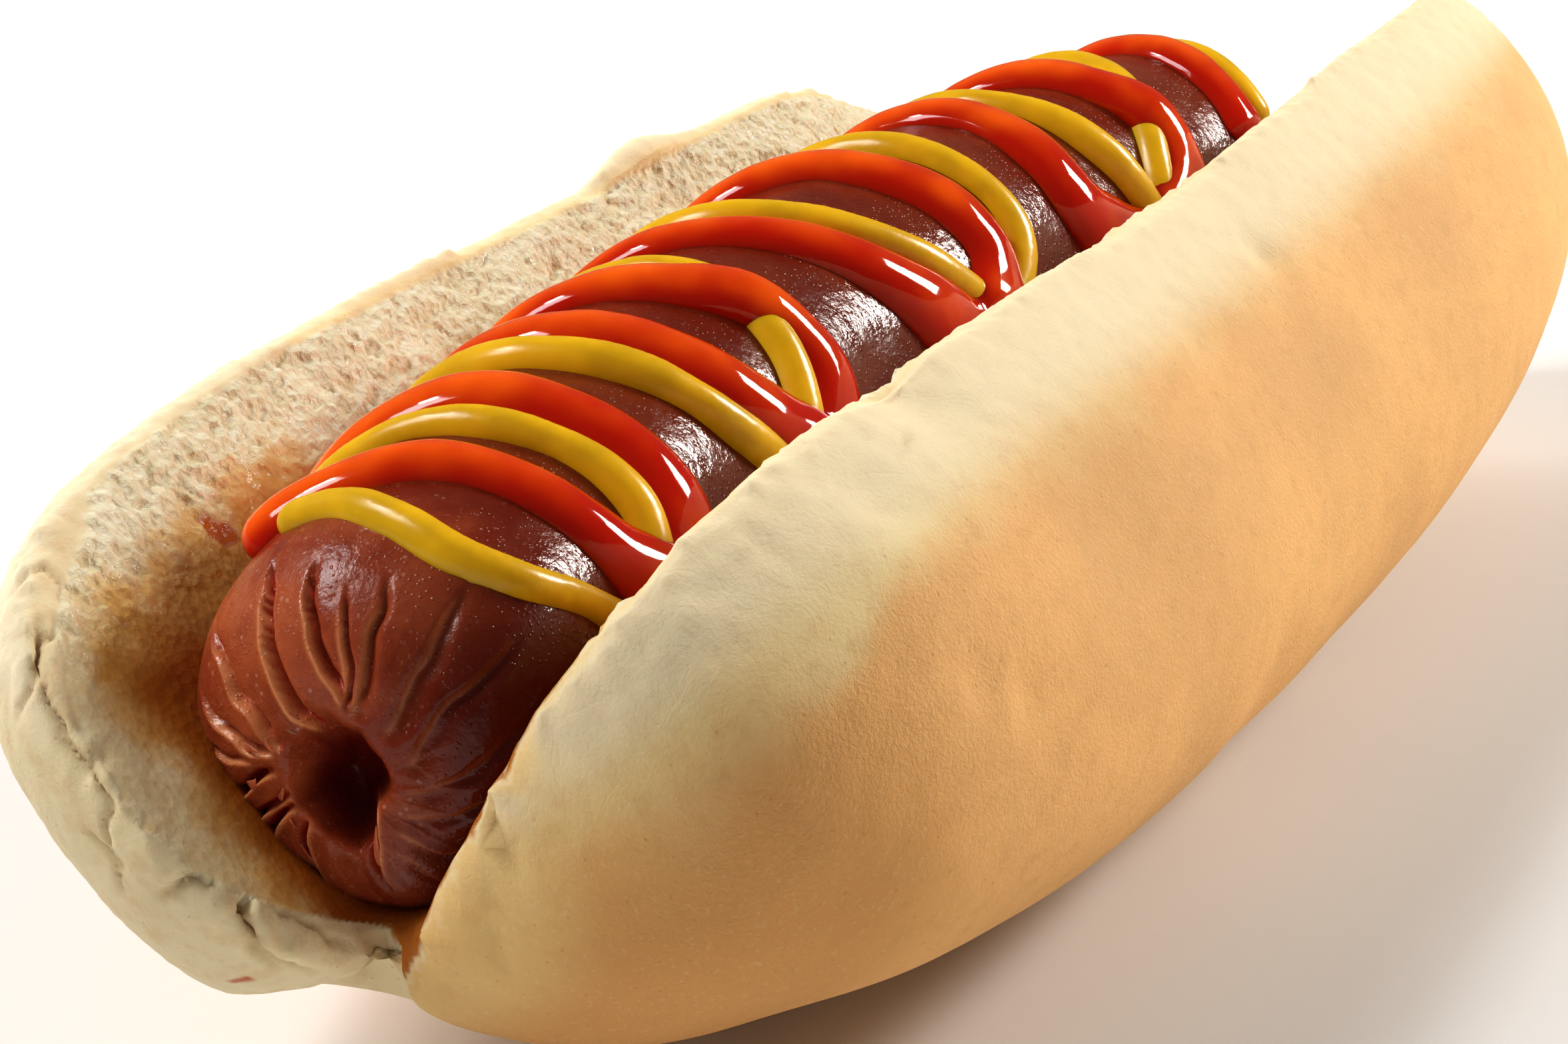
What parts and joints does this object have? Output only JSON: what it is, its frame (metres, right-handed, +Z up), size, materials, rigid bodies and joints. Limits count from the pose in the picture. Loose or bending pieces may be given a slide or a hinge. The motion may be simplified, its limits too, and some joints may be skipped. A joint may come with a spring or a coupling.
{
  "type": "hot dog",
  "caption": "Soft white roll split along its top and opened round a frankfurter that carries zigzag beads of ketchup and mustard.",
  "frame": {"origin": "middle of the underside of the roll, at the level that it rests on", "axes": "+Z up; +X along the roll, away from the frankfurter's open, puckered end; +Y across, towards the half of the roll that lies further open and shows its crumb"},
  "size_m": [0.1748, 0.0718, 0.0463],
  "materials": {
    "bread": "matte",
    "frankfurter": "satin"
  },
  "bodies": {
    "root": {"bun": "bread", "sausage": "frankfurter"}
  },
  "joints": []
}
